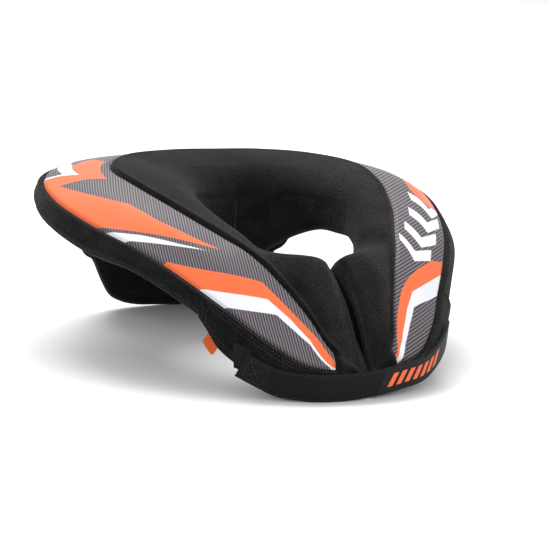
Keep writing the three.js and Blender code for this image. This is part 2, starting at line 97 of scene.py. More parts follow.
# One row is a section of the collar at an angle from the front middle to the back middle. The points
# are (plan radius / COLLAR_REACH, height / COLLAR_RISE), and swell is a share of PANEL_BULGE.
SECTIONS = [
    # angle, swell, foot, crest, inner seam, outer seam, rim, under edge
    (0, 0.1, (0.31, 0.43), (0.375, 0.67), (0.69, 0.17), (0.715, 0.135), (0.72, 0.09), (0.69, 0.035)),
    (10, 0.2, (0.31, 0.43), (0.38, 0.685), (0.675, 0.24), (0.71, 0.17), (0.72, 0.1), (0.69, 0.04)),
    (12, 0.2, (0.31, 0.435), (0.38, 0.69), (0.67, 0.26), (0.715, 0.175), (0.72, 0.1), (0.69, 0.04)),
    (20, 0.4, (0.305, 0.465), (0.39, 0.7), (0.59, 0.415), (0.72, 0.195), (0.725, 0.115), (0.695, 0.055)),
    (35, 0.6, (0.305, 0.52), (0.395, 0.7), (0.505, 0.6), (0.694, 0.308), (0.725, 0.195), (0.69, 0.135)),
    (50, 0.7, (0.3, 0.575), (0.41, 0.71), (0.47, 0.71), (0.672, 0.44), (0.715, 0.34), (0.675, 0.3)),
    (65, 0.8, (0.3, 0.615), (0.41, 0.775), (0.465, 0.765), (0.695, 0.563), (0.74, 0.475), (0.7, 0.43)),
    (80, 0.9, (0.305, 0.635), (0.445, 0.825), (0.495, 0.82), (0.757, 0.673), (0.815, 0.585), (0.765, 0.54)),
    (95, 1, (0.325, 0.645), (0.505, 0.88), (0.555, 0.875), (0.858, 0.741), (0.92, 0.63), (0.87, 0.58)),
    (110, 0.8, (0.345, 0.635), (0.595, 0.93), (0.65, 0.925), (0.98, 0.812), (1.03, 0.71), (0.98, 0.66)),
    (125, 0.4, (0.37, 0.62), (0.7, 0.97), (0.76, 0.955), (1.038, 0.85), (1.07, 0.775), (1.02, 0.725)),
    (140, 0.15, (0.39, 0.55), (0.725, 0.975), (0.78, 0.965), (1.02, 0.864), (1.045, 0.81), (0.995, 0.755)),
    (160, 0.1, (0.395, 0.405), (0.65, 0.99), (0.7, 0.98), (0.935, 0.879), (0.975, 0.81), (0.925, 0.76)),
    (180, 0.1, (0.395, 0.31), (0.61, 0.99), (0.66, 0.985), (0.895, 0.88), (0.94, 0.81), (0.89, 0.76)),
]
CONTROLS = [
    "inner", "foot", "underside", "under", "rim", "shoulder", "seam_out", "panel", "seam_in",
    "lap", "crest", "roll_top", "roll_side", "wall",
]
# How many points each stretch of a section gets, from the named point to the next.
COVER_STEPS = dict(zip(CONTROLS, [3, 5, 5, 6, 12, 12, 4, 4, 12, 12, 12, 12, 14, 8]))
PANEL_STEPS = dict(zip(CONTROLS, [1, 1, 1, 1, 1, 2, 30, 30, 2, 1, 1, 1, 1, 1]))

# Signed angle from the front, negative on the wearer's right, height of the lower edge as a share
# of STRAP_WIDTH, and how far the strap stands off, as a share of PATCH_THICKNESS.
STRAP_PATH = [
    (-43.5, 0.66, 2.8),
    (-38, 0.44, 2.7),
    (-31, 0.13, 1.7),
    (-23, 0.04, 1.5),
    (-14, 0, 1.5),
    (0, 0.1, 1.5),
    (13, 0.24, 1.5),
    (26, 0.42, 1.5),
    (36, 0.85, 1.5),
    (42, 1.15, 1.5),
]
# Angle, reach up the border, and how far the patch hangs, as a share of STRAP_WIDTH.
PATCH_EDGE = [
    (17, 0.85, 0.4),
    (26, 0.85, 0.55),
    (35, 0.87, 0.65),
    (44, 0.88, 0.72),
    (51, 0.86, 0.62),
    (54, 0.78, 0.36),
    (57.5, 0.5, 0.1),
]
LEFT_PATCH_END = 53
LEFT_DROP = 0.35
# The flap's lower outline: (x / FLAP_HALF_WIDTH, height / FLAP_DEPTH).
FLAP_OUTLINE = [
    (0, 0), (0.19, 0.02), (0.43, 0.06), (0.55, 0.12), (0.67, 0.25),
    (0.75, 0.46), (0.84, 0.74), (0.96, 0.93), (1, 1.1),
]

# The printed shapes: (angle from the front, share of the way from the outer seam to the inner one).
RIGHT_ORANGE = [
    [(121.5, -0.1), (111, -0.1), (95, 0), (87, 0.18), (77, 0.39), (66.5, 0.61), (60.5, 0.735),
     (73, 0.61), (84, 0.53), (96, 0.53), (114.5, 0.16), (114.5, 0.75), (123, 0.83), (133, 0.9),
     (139, 0.53), (130, 0.4), (119, 0.49), (121, 0.24)],
    [(74, -0.1), (72.5, 0.06), (58, 0.36), (40.5, 0.72), (32.5, 0.71), (24.5, 0.69), (17, 0.68),
     (11.5, 0.4), (11.5, 0.1), (13.5, 0.12), (21, 0.48), (28, 0.55), (37, 0.55), (49, 0.27),
     (60, 0.02), (62, -0.1)],
]
RIGHT_WHITE = [
    [(92, 0), (84, 0.19), (73, 0.39), (62.5, 0.61), (77.5, 0.228), (85.5, 0.02), (87, -0.1)],
    [(62, -0.1), (60, 0.02), (49, 0.27), (37, 0.55), (28, 0.55), (21, 0.48), (13.5, 0.12), (11.5, 0.1),
     (12.5, -0.1), (14.5, 0.09), (21, 0.39), (26.5, 0.42), (33, 0.44), (50.5, 0.02), (53, -0.1)],
    [(140.5, 0.11), (130, 0.4), (119, 0.49), (121, 0.24), (121.5, -0.1), (142, -0.1)],
]
RIGHT_GREY = [[(137.5, -0.1), (135.5, 0.06), (128, 0.19), (122, 0.3), (122.5, -0.1)]]
LEFT_ORANGE = [
    [(112, -0.1), (109, 0.5), (101, 0.56), (94.5, 0.47), (93.5, 0.3), (97.5, -0.1)],
    [(67, -0.1), (66.5, 0.02), (59.5, 0.31), (46, 0.6), (36, 0.78), (29.5, 0.86), (21, 0.89),
     (15.5, 0.88), (9, 0.27), (11.5, -0.1), (10.5, 0.1), (14, 0.59), (18.5, 0.64), (26, 0.68),
     (34, 0.64), (60.5, 0.015), (62, -0.1)],
]
LEFT_WHITE = [
    [(62, -0.1), (60.5, 0.015), (34, 0.64), (26, 0.68), (18.5, 0.64), (14, 0.59), (10.5, 0.1),
     (11.5, -0.1), (11.5, 0.06), (17, 0.45), (22.5, 0.53), (29.5, 0.55), (50.5, 0), (52, -0.1)],
    # Four chevrons, one under the other.
    *([(101 - 12 * k, 0.03 + 0.1 * k), (91 - 12 * k, 0.31 + 0.12 * k), (99 - 12 * k, 0.64 + 0.1 * k),
       (92.5 - 12 * k, 0.64 + 0.1 * k), (84.5 - 12 * k, 0.31 + 0.12 * k), (94.5 - 12 * k, 0.03 + 0.1 * k)]
      for k in range(4)),
]


def smooth(xs, ys, x, mirror_end=False):
    """Smooth values of a table's columns at x, by cubic pieces with averaged slopes."""
    xs = np.asarray(xs, float)
    ys = np.asarray(ys, float).reshape(len(xs), -1)
    last = len(xs) - 2
    if mirror_end:
        xs = np.concatenate([xs, 2 * xs[-1] - xs[-2::-1]])
        ys = np.concatenate([ys, ys[-2::-1]])
    gap = np.diff(xs)[:, None]
    rise = np.diff(ys, axis=0) / gap
    slope = np.concatenate([rise[:1], rise])
    slope[1:-1] = (gap[1:] * rise[:-1] + gap[:-1] * rise[1:]) / (gap[1:] + gap[:-1])
    x = np.atleast_1d(np.asarray(x, float))
    k = np.clip(np.searchsorted(xs, x, side="left") - 1, 0, last)
    h = gap[k]
    s = (x - xs[k])[:, None] / h
    return (
        (2 * s**3 - 3 * s**2 + 1) * ys[k]
        + (s**3 - 2 * s**2 + s) * h * slope[k]
        + (3 * s**2 - 2 * s**3) * ys[k + 1]
        + (s**3 - s**2) * h * slope[k + 1]
    )


TABLE_ANGLES = [row[0] for row in SECTIONS]
TABLE_VALUES = [[row[1], *sum(row[2:], ())] for row in SECTIONS]


def section_controls(angles):
    """The control points round the sections at these angles, as (plan radius, height)."""
    table = smooth(TABLE_ANGLES, TABLE_VALUES, angles, mirror_end=True)
    size = (COLLAR_REACH, COLLAR_RISE)
    foot, crest, seam_in, seam_out, rim, under = [table[:, k : k + 2] * size for k in range(1, 13, 2)]
    share = table[:, :1]

    def outward(a, b, distance):
        way = b - a
        square = np.stack([-way[:, 1], way[:, 0]], 1)
        return square / np.linalg.norm(square, axis=1)[:, None] * distance

    lap_width = np.linalg.norm(seam_in - crest, axis=1)[:, None]
    width, height = (crest - foot).T

    def roll(degrees):
        a = math.radians(degrees)
        drop = 0.62 * height * (1 - math.cos(a) ** 0.87)
        return np.stack([crest[:, 0] - width * math.sin(a) ** 0.87, crest[:, 1] - drop], 1)

    points = {
        "inner": foot + (-0.001, 0.003),
        "foot": foot + (0.005, -0.0015),
        "underside": (foot + under) / 2 + (0, -0.001),
        "under": under,
        "rim": rim,
        "shoulder": rim + 0.55 * (seam_out - rim) + outward(seam_out, rim, SHOULDER_SWELL * share),
        "seam_out": seam_out,
        "panel": (seam_out + seam_in) / 2 + outward(seam_in, seam_out, PANEL_BULGE * share),
        "seam_in": seam_in,
        "lap": (seam_in + crest) / 2 + outward(crest, seam_in, np.minimum(0.0035, lap_width * 0.08)),
        "crest": crest,
        "roll_top": roll(33),
        "roll_side": roll(62),
        "wall": np.stack([foot[:, 0] - 0.001, foot[:, 1] + 0.3 * height], 1),
    }
    return np.stack([points[name] for name in CONTROLS], 1)


def outlines(angles, steps, crowded=True):
    """Points round the sections at these angles, and where each named point lies among them."""
    controls = section_controls(angles)
    points = []
    marks = {}
    for k, name in enumerate(CONTROLS):
        p = [np.roll(controls, 1 - k - j, axis=1)[:, 0] for j in range(4)]
        t = np.zeros((4, len(controls), 1))
        for j in range(1, 4):
            t[j] = t[j - 1] + np.sqrt(np.linalg.norm(p[j] - p[j - 1], axis=1))[:, None]
        marks[name] = len(points)
        shares = np.arange(steps[name]) / steps[name]
        # Points crowd towards the seams, where the cloth turns down.
        if crowded and name.startswith("seam"):
            shares = shares**1.6
        elif crowded and CONTROLS[(k + 1) % len(CONTROLS)].startswith("seam"):
            shares = 1 - (1 - shares) ** 1.6
        for share in shares:
            x = t[1] + (t[2] - t[1]) * share
            a = [p[i] + (p[i + 1] - p[i]) * (x - t[i]) / (t[i + 1] - t[i]) for i in range(3)]
            b = [a[i] + (a[i + 1] - a[i]) * (x - t[i]) / (t[i + 2] - t[i]) for i in range(2)]
            points.append(b[0] + (b[1] - b[0]) * (x - t[1]) / (t[2] - t[1]))
    return np.stack(points, 1), marks


def outline_normals(points):
    """Outward normals of closed section outlines."""
    way = np.roll(points, -1, axis=1) - np.roll(points, 1, axis=1)
    normal = np.stack([way[..., 1], -way[..., 0]], -1)
    return normal / np.linalg.norm(normal, axis=-1, keepdims=True)


def run_lengths(points):
    """Arc length from each outline's first point to each of its points."""
    step = np.linalg.norm(np.diff(points, axis=1), axis=-1)
    return np.concatenate([np.zeros((len(points), 1)), np.cumsum(step, axis=1)], axis=1)


def placed(points, angles, side, shift=0.0):
    """Section points in space. The halves part by LAPEL_GAP at the front and meet at the back."""
    a = np.radians(angles)[:, None]
    apart = LAPEL_GAP / 2 * np.where(angles < 90, 1, np.sin(np.radians(angles)))[:, None]
    x = side * (np.hypot(points[..., 0] * np.sin(a), apart) + shift)
    return np.stack([x, PLAN_CENTRE_Y - points[..., 0] * np.cos(a), points[..., 1]], -1)


def settled(points):
    """Points of the collar's own frame, as the brace rests: tipped forward and lifted."""
    c, s = math.cos(RESTING_TIP), math.sin(RESTING_TIP)
    x, y, z = np.moveaxis(np.asarray(points, float), -1, 0)
    return np.stack([x, c * y - s * z + RESTING_SHIFT, s * y + c * z + RESTING_LIFT], -1)


def smoothstep(x, low, high):
    """0 below low, 1 above high, and smooth between them."""
    s = np.clip((x - low) / (high - low), 0, 1)
    return s * s * (3 - 2 * s)


def rounded_by(radius, distance):
    """How far a rounded edge lies under its full height, at a distance from its end."""
    bite = np.clip(radius - np.maximum(0, distance), 0, None)
    return radius - np.sqrt(radius**2 - bite**2)


def groove(distance, depth, width):
    """Depth of a seam's valley at a distance from its line."""
    return depth * np.exp(-((distance / width) ** 2))


def mesh_from_grid(name, grid, moves=0.0, fields=None):
    """A closed mesh through rings of points, its faces outwards, with float or vector fields."""
    rows, count = grid.shape[:2]
    co = (settled(grid) + moves).reshape(-1, 3)
    i = np.arange(rows - 1)[:, None]
    j = np.arange(count)[None, :]
    k = (j + 1) % count
    corners = [i * count + j, (i + 1) * count + j, (i + 1) * count + k, i * count + k]
    quads = np.stack(corners, -1).reshape(-1, 4)
    a, b, c, d = [co[quads[:, n]] for n in range(4)]
    centre = co.mean(0)
    flux = np.einsum("ij,ij->i", (a + b + c + d) / 4 - centre, np.cross(c - a, d - b)).sum()
    faces = quads.tolist()
    faces.append(list(range(count))[::-1])
    faces.append(list(range((rows - 1) * count, rows * count)))
    if flux < 0:
        faces = [face[::-1] for face in faces]
    mesh = bpy.data.meshes.new(name)
    mesh.from_pydata(co.tolist(), [], faces)
    mesh.shade_smooth()
    for field, values in (fields or {}).items():
        kind, key = ("FLOAT_VECTOR", "vector") if values.ndim == 3 else ("FLOAT", "value")
        mesh.attributes.new(field, kind, "POINT").data.foreach_set(key, values.astype(np.float32).ravel())
    piece = bpy.data.objects.new(name, mesh)
    bpy.context.scene.collection.objects.link(piece)
    return piece


def finish_piece(piece, material, slot, *nodes):
    """Gives a piece its material, ties it to the body, and hides the CAD nodes that it stands for."""
    piece.data.materials.append(material)
    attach(piece, "root")
    if nodes:
        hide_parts(*nodes)
    return piece


def add_camera():
    data = bpy.data.cameras.new("camera")
    data.lens = CAMERA_LENS
    data.sensor_width = 36
    data.clip_end = 50
    camera = bpy.data.objects.new("camera", data)
    bpy.context.scene.collection.objects.link(camera)
    azimuth, elevation, roll = [math.radians(v) for v in (CAMERA_AZIMUTH, CAMERA_ELEVATION, CAMERA_ROLL)]
    level = math.cos(elevation)
    back = Vector((level * math.sin(azimuth), -level * math.cos(azimuth), math.sin(elevation)))
    flat = Vector((math.cos(azimuth), math.sin(azimuth), 0))
    right = flat * math.cos(roll) + back.cross(flat) * math.sin(roll)
    up = back.cross(right)
    camera.matrix_world = Matrix.Translation(CAMERA_PLACE) @ Matrix((right, up, back)).transposed().to_4x4()
    bpy.context.scene.camera = camera


add_camera()


# Looks
class Shader:
    """A material's node tree, built call by call."""

    def __init__(self, name, **surface):
        self.material = bpy.data.materials.new(name)
        self.material.use_nodes = True
        self.tree = self.material.node_tree
        self.surface = self.tree.nodes["Principled BSDF"]
        for socket, value in surface.items():
            title = socket.replace("_", " ").title().replace("Ior", "IOR")
            self.surface.inputs[title].default_value = value

    def node(self, kind, settings=None, **inputs):
        node = self.tree.nodes.new(kind)
        for key, value in (settings or {}).items():
            setattr(node, key, value)
        for key, value in inputs.items():
            name = key.replace("_", " ").title()
            socket = node.inputs[int(key[1:])] if key[1:].isdigit() else node.inputs[name]
            if isinstance(value, bpy.types.NodeSocket):
                self.tree.links.new(value, socket)
            else:
                socket.default_value = value
        return node

    def math(self, operation, a, b=0.0, c=0.0):
        return self.node("ShaderNodeMath", {"operation": operation}, i0=a, i1=b, i2=c).outputs[0]

    def mix(self, share, a, b):
        node = self.node("ShaderNodeMix", {"data_type": "RGBA"}, i0=share)
        for socket, value in ((node.inputs[6], a), (node.inputs[7], b)):
            if isinstance(value, bpy.types.NodeSocket):
                self.tree.links.new(value, socket)
            else:
                socket.default_value = value
        return node.outputs[2]

    def between(self, value, low, high):
        """0 below low, 1 above high, and smooth between them."""
        settings = {"interpolation_type": "SMOOTHSTEP"}
        node = self.node("ShaderNodeMapRange", settings, value=value, from_min=low, from_max=high)
        return node.outputs[0]

    def field(self, name):
        return self.node("ShaderNodeAttribute", {"attribute_name": name})

    def place(self):
        return self.node("ShaderNodeTexCoord").outputs["Object"]

    def noise(self, vector, scale, detail=3.0, roughness=0.55):
        settings = dict(vector=vector, scale=scale, detail=detail, roughness=roughness)
        return self.node("ShaderNodeTexNoise", **settings).outputs[0]

    def stretched(self, vector, scale, turn=(0, 0, 0)):
        return self.node("ShaderNodeMapping", vector=vector, scale=scale, rotation=turn).outputs[0]

    def wave(self, value, pitch):
        """A wave from 0 to 1 with this pitch along value."""
        turns = self.math("MULTIPLY", value, 2 * math.pi / pitch)
        return self.math("MULTIPLY_ADD", self.math("SINE", turns), 0.5, 0.5)

    def along(self, vector, direction):
        node = self.node("ShaderNodeVectorMath", {"operation": "DOT_PRODUCT"}, i0=vector, i1=direction)
        return node.outputs[1]

    def bump(self, height, distance, strength=1.0, normal=None):
        node = self.node("ShaderNodeBump", height=height, distance=distance, strength=strength)
        if normal:
            self.tree.links.new(normal, node.inputs["Normal"])
        return node.outputs[0]

    def finish(self, color=None, roughness=None, normal=None):
        for name, value in (("Base Color", color), ("Roughness", roughness), ("Normal", normal)):
            if value is not None:
                self.tree.links.new(value, self.surface.inputs[name])
        return self.material


def brushed_cover(name):
    """Black brushed knit: short nap that lights up brownish at a low angle."""
    tint = (0.82, 0.78, 0.73, 1)
    s = Shader(name, sheen_weight=0.15, sheen_roughness=0.32, sheen_tint=tint, specular_ior_level=0.1)
    place = s.place()
    nap = s.noise(s.stretched(place, (1, 1, 0.6)), 700, 4)
    patches = s.noise(place, 55, 4, 0.6)
    fibre = s.noise(s.stretched(place, (1, 0.35, 1)), 2600, 2)
    tone = s.math("MULTIPLY_ADD", patches, 0.55, s.math("MULTIPLY", nap, 0.6))
    color = s.mix(s.between(tone, 0.35, 0.85), (0.0014, 0.0014, 0.0018, 1), (0.014, 0.0135, 0.013, 1))
    rough = s.math("MULTIPLY_ADD", nap, 0.25, 0.75)
    height = s.math("MULTIPLY_ADD", fibre, 0.5, nap)
    return s.finish(color, rough, s.bump(height, 0.0012, 1.0))


def printed_panel(name, stripes_way, pitch):
    """Smooth printed cloth: fine grey pinstripes, with the orange and white shapes over them."""
    s = Shader(name, sheen_weight=0.3, sheen_roughness=0.22, specular_ior_level=0.4)
    place = s.place()
    run = s.along(place, stripes_way)
    wobble = s.math("MULTIPLY", s.noise(place, 60, 2), 0.0004)
    line = s.wave(s.math("ADD", run, wobble), pitch)
    grey = s.mix(s.between(line, 0.22, 0.78), (0.028, 0.023, 0.028, 1), (0.19, 0.165, 0.185, 1))
    rib = s.wave(run, pitch / 2)
    tone = s.noise(place, 90, 3)
    orange_low, orange_high = (0.78, 0.13, 0.034, 1), (0.88, 0.165, 0.048, 1)
    share = s.math("MULTIPLY_ADD", rib, 0.45, s.math("MULTIPLY", tone, 0.5))
    orange = s.mix(share, orange_low, orange_high)
    white = s.mix(tone, (0.76, 0.76, 0.82, 1), (0.83, 0.83, 0.88, 1))
    edge = 0.15
    color = s.mix(s.between(s.field("white").outputs["Fac"], -edge, edge), grey, white)
    color = s.mix(s.between(s.field("grey").outputs["Fac"], -edge, edge), color, grey)
    color = s.mix(s.between(s.field("orange").outputs["Fac"], -edge, edge), color, orange)
    weave = s.noise(place, 1500, 2)
    rough = s.math("MULTIPLY_ADD", weave, 0.15, 0.5)
    height = s.math("MULTIPLY_ADD", rib, 0.6, s.math("MULTIPLY", weave, 0.5))
    return s.finish(color, rough, s.bump(height, 0.00012, 0.5))


def webbing(name, dark, light, rib=0.0011, slope=0.5, roughness=0.75, sheen=0.03):
    """Ribbed webbing: slanted rows of thread."""
    s = Shader(name, sheen_weight=sheen, sheen_roughness=0.4, specular_ior_level=0.14)
    weave = s.field("weave").outputs["Vector"]
    split = s.node("ShaderNodeSeparateXYZ", vector=weave)
    along, across = split.outputs[0], split.outputs[1]
    row = s.wave(s.math("MULTIPLY_ADD", across, slope, along), rib)
    thread = s.wave(s.math("MULTIPLY_ADD", across, -0.35, along), rib * 0.45)
    cross = s.wave(across, rib * 0.8)
    knots = s.math("MULTIPLY", s.math("MULTIPLY", cross, thread), 0.5)
    height = s.math("ADD", s.math("MULTIPLY", row, 0.7), knots)
    fuzz = s.noise(s.place(), 900, 3)
    color = s.mix(s.math("MULTIPLY_ADD", row, 0.65, s.math("MULTIPLY", fuzz, 0.35)), dark, light)
    rough = s.math("MULTIPLY_ADD", fuzz, 0.2, roughness)
    return s.finish(color, rough, s.bump(height, 0.001, 1.0))


def thread_material(name, color):
    s = Shader(name, sheen_weight=0.2, specular_ior_level=0.4)
    twist = s.noise(s.place(), 2500, 2)
    dark = tuple(0.6 * v for v in color[:3]) + (1,)
    rough = s.math("MULTIPLY_ADD", twist, 0.2, 0.55)
    return s.finish(s.mix(twist, dark, color), rough, s.bump(twist, 0.0002, 0.6))


def woven_label(name):
    """Smoother woven tape with slanted orange bars, evenly repeated."""
    s = Shader(name, sheen_weight=0.05, sheen_roughness=0.4, specular_ior_level=0.2)
    weave = s.field("weave").outputs["Vector"]
    split = s.node("ShaderNodeSeparateXYZ", vector=weave)
    rib = s.wave(split.outputs[1], 0.0007)
    fuzz = s.noise(s.place(), 1100, 3)
    tone = s.math("MULTIPLY_ADD", rib, 0.5, s.math("MULTIPLY", fuzz, 0.5))
    ground = s.mix(tone, (0.003, 0.003, 0.0038, 1), (0.009, 0.009, 0.0105, 1))
    orange = s.mix(fuzz, (0.76, 0.13, 0.035, 1), (0.88, 0.18, 0.06, 1))
    bars = s.between(s.field("bars").outputs["Fac"], -0.0001, 0.0001)
    color = s.mix(bars, ground, orange)
    height = s.math("ADD", s.math("MULTIPLY", rib, 0.4), bars)
    return s.finish(color, s.math("MULTIPLY_ADD", fuzz, 0.2, 0.55), s.bump(height, 0.0002, 0.7))


def plain_floor(name):
    s = Shader(name, specular_ior_level=0.1)
    tone = s.noise(s.place(), 3, 2)
    color = s.mix(tone, (0.86, 0.86, 0.86, 1), (0.9, 0.9, 0.9, 1))
    return s.finish(color, s.math("MULTIPLY_ADD", tone, 0.1, 0.85))


# The collar and its panels
def collar_angles():
    near_tip = [5.5, 8, 10, 11, 11.6, 12, 12.4, 12.9, 13.6, 14.6, 16]
    return np.array(near_tip + list(np.linspace(17, 179, 163)) + [179.6])


def panel_distance(points, marks, angles):
    """How far each point lies inside its panel's outline, negative outside."""
    run = run_lengths(points)
    radius = points[..., 0]
    from_out = run - run[:, marks["seam_out"], None]
    from_in = run[:, marks["seam_in"], None] - run
    from_tip = np.radians(angles - PANEL_TIP_ANGLE)[:, None] * radius
    from_back = np.radians(180 - angles)[:, None] * radius
    return np.minimum.reduce([from_out, from_in, from_tip, from_back])


def cover_rings(side):
    """The cover of one half, from its front end to just before the back middle."""
    shifts = [0, 0.0001, 0.0003, 0.0006, 0.001, 0.0016, 0.0024, 0.0034, 0.0045]
    angles = np.array([0.0] * len(shifts) + collar_angles().tolist())
    shift = np.array(shifts + [0.0] * (len(angles) - len(shifts)))[:, None]
    points, marks = outlines(angles, COVER_STEPS)
    normal = outline_normals(points)
    count = points.shape[1]
    number = np.arange(count)[None, :]
    inset = np.where(angles[:, None] == 0, rounded_by(LAPEL_ROUNDING, shift), 0)
    q = panel_distance(points, marks, angles)
    under_panel = RECESS * (1 - np.exp(-((np.clip(q, 0, None) / 0.0012) ** 2)))
    valley = np.where(q > 0, SEAM_DEPTH, groove(q, SEAM_DEPTH, SEAM_WIDTH))
    swell = 0.0013 * np.exp(-(((q + 0.0036) / 0.0022) ** 2))
    depth = inset + under_panel + valley - swell
    depth += cover_creases(points, marks, angles)
    grid = placed(points - normal * depth[..., None], angles, side, shift)
    rise = smoothstep(number, marks["lap"], marks["crest"])
    high = rise * (1 - smoothstep(number, marks["roll_side"], marks["wall"]))
    from_gap = np.where(angles[:, None] < 90, np.abs(grid[..., 0]) - LAPEL_GAP / 2, CREST_ROUNDING)
    grid[..., 2] -= high * rounded_by(CREST_ROUNDING, from_gap)
    # The filling moves the cloth between the seams, not along them, nor the border under the patches.
    low = (number < marks["under"] + 3) | (number > marks["wall"])
    patched = (angles[:, None] < PATCH_EDGE[-1][0] + 2) & (number <= marks["seam_out"])
    held = (q > -0.0035) | low | patched | (angles[:, None] < 1)
    return grid, held


def cover_creases(points, marks, angles):
    """The cover's sewn lines: round the border, across it at the back corner, and on the wall."""
    run = run_lengths(points)
    degrees = angles[:, None]
    radius = points[..., 0]

    def at(name):
        return run[:, marks[name], None]

    border = groove(run - at("rim"), 0.0009, 0.0012)
    depth = border * smoothstep(degrees, 46, 58)
    way_up = (run - at("under")) / (at("seam_out") - at("under"))
    corner_line = 117 + 26 * (way_up - 0.42)
    corner = groove(np.radians(degrees - corner_line) * radius, 0.0008, 0.001)
    depth += corner * (way_up > 0) * (way_up < 1)
    wall_share = (run - at("crest")) / (at("wall") - at("crest"))
    seam_share = np.interp(angles, [0, 120, 140, 160, 180], [1, 0.9, 0.8, 0.69, 0.585])[:, None]
    wall_length = at("wall") - at("crest")
    inner = groove((wall_share - seam_share) * wall_length, 0.0012, 0.0012) * smoothstep(degrees, 110, 135)
    upright = groove(np.radians(180 - degrees) * radius, 0.001, 0.0012)
    upright = upright * smoothstep(wall_share, seam_share, seam_share + 0.02)
    return depth + (inner + upright) * (run > at("crest"))


def filling_moves(grid, held, every_row=5, every_column=4, limit=0.0018):
    """How far the filling pushes each point of the cloth out, from a cloth simulation of a coarse copy."""
    moves = np.zeros(grid.shape)
    rows = np.unique(np.append(np.arange(0, grid.shape[0], every_row), grid.shape[0] - 1))
    columns = np.arange(0, grid.shape[1], every_column)
    piece = mesh_from_grid("filling_trial", grid[np.ix_(rows, columns)])
    mesh = piece.data
    rest = np.array([v.co[:] for v in mesh.vertices])
    group = piece.vertex_groups.new(name="held")
    group.add(np.flatnonzero(held[np.ix_(rows, columns)].ravel()).tolist(), 1.0, "REPLACE")
    cloth = piece.modifiers.new("filling", "CLOTH")
    cloth.settings.vertex_group_mass = "held"
    cloth.settings.use_pressure = True
    cloth.settings.uniform_pressure_force = 4
    cloth.settings.tension_stiffness = 15
    cloth.settings.bending_stiffness = 2
    cloth.settings.effector_weights.gravity = 0
    scene = bpy.context.scene
    for number in range(1, 21):
        scene.frame_set(number)
    result = piece.evaluated_get(bpy.context.evaluated_depsgraph_get()).to_mesh()
    coarse = np.array([v.co[:] for v in result.vertices]) - rest
    length = np.linalg.norm(coarse, axis=1, keepdims=True)
    coarse *= limit / np.maximum(length, limit)
    coarse = coarse.reshape(len(rows), len(columns), 3)
    scene.frame_set(1)
    bpy.data.objects.remove(piece)
    coarse = np.concatenate([coarse, coarse[:, :1]], axis=1)
    columns = np.append(columns, grid.shape[1])
    for axis in range(3):
        part = np.stack([np.interp(np.arange(grid.shape[0]), rows, c) for c in coarse[..., axis].T], 1)
        moves[..., axis] = np.stack([np.interp(np.arange(grid.shape[1]), columns, r) for r in part])
    return moves


def add_cover(material):
    right, held = cover_rings(-1)
    left = cover_rings(1)[0]
    grid = np.concatenate([right, left[::-1]])
    held = np.concatenate([held, held[::-1]])
    piece = mesh_from_grid("collar_cover", grid, filling_moves(grid, held))
    return finish_piece(piece, material, "cover", "collar_body")


def polygon_distance(polygon, x, y):
    """Signed distance to a polygon's outline, positive inside."""
    corners = np.array(polygon, float)
    nearest = np.full(x.shape, np.inf)
    inside = np.zeros(x.shape, bool)
    for (ax, ay), (bx, by) in zip(corners, np.roll(corners, -1, axis=0)):
        ex, ey = bx - ax, by - ay
        share = np.clip(((x - ax) * ex + (y - ay) * ey) / (ex * ex + ey * ey + 1e-12), 0, 1)
        nearest = np.minimum(nearest, np.hypot(x - ax - share * ex, y - ay - share * ey))
        if ay != by:
            crosses = (ay > y) != (by > y)
            inside ^= crosses & (x < ax + (y - ay) * ex / ey)
    return np.where(inside, nearest, -nearest)


def printed(shapes, angle, share):
    """Signed distance, in about millimetres, to the nearest of the printed shapes."""
    along, across = 2.0, 48.0  # millimetres for a degree and for the panel's width
    fields = [
        polygon_distance([(a * along, v * across) for a, v in shape], angle * along, share * across)
        for shape in shapes
    ]
    return np.maximum.reduce(fields) if fields else np.full(angle.shape, -9.0)


def add_panel(name, side, orange, white, grey, material, node):
    """A printed panel: a thin skin with its edges turned down into the seams."""
    angles = PANEL_TIP_ANGLE + (180 - PANEL_TIP_ANGLE) * np.linspace(0, 1, 400)
    angles[:6] = PANEL_TIP_ANGLE + np.array([0, 0.15, 0.35, 0.6, 0.9, 1.3])
    angles[-1] -= 0.1
    points, marks = outlines(angles, PANEL_STEPS)
    start, end = marks["seam_out"], marks["seam_in"]
    q = np.clip(panel_distance(points, marks, angles), 0, None)[:, start : end + 1]
    normal = outline_normals(points)[:, start : end + 1]
    band = points[:, start : end + 1]
    turned = 0.0017 * np.exp(-((q / 0.0015) ** 2))
    outer = band + normal * (0.0004 - turned)[..., None]
    inner = (band - normal * (0.0004 + turned)[..., None])[:, ::-6]
    grid = placed(np.concatenate([outer, inner], axis=1), angles, side)
    run = run_lengths(band)
    share = run / run[:, -1:]
    share = np.concatenate([share, share[:, ::-6]], axis=1)
    spread = np.broadcast_to(angles[:, None], share.shape)
    fields = {
        "orange": printed(orange, spread, share),
        "white": printed(white, spread, share),
        "grey": printed(grey, spread, share),
    }
    piece = mesh_from_grid(name, grid, fields=fields)
    return finish_piece(piece, material, "print", node)


# Webbing, patches, tab and flap
def border_reach(angles):
    """The plan radius of the border where it stands out most."""
    points, marks = outlines(np.atleast_1d(np.asarray(angles, float)), COVER_STEPS)
    return points[:, marks["under"] : marks["seam_out"], 0].max(1)


def strap_table(signed):
    """Height and standing off of the strap at signed angles."""
    return smooth([row[0] for row in STRAP_PATH], [row[1:] for row in STRAP_PATH], signed)


def on_radius(radius, degrees, z):
    """Points at signed angles from the front, by their plan radius and height."""
    a = np.radians(degrees)
    return np.stack([radius * np.sin(a), PLAN_CENTRE_Y - radius * np.cos(a), z + 0 * a], -1)


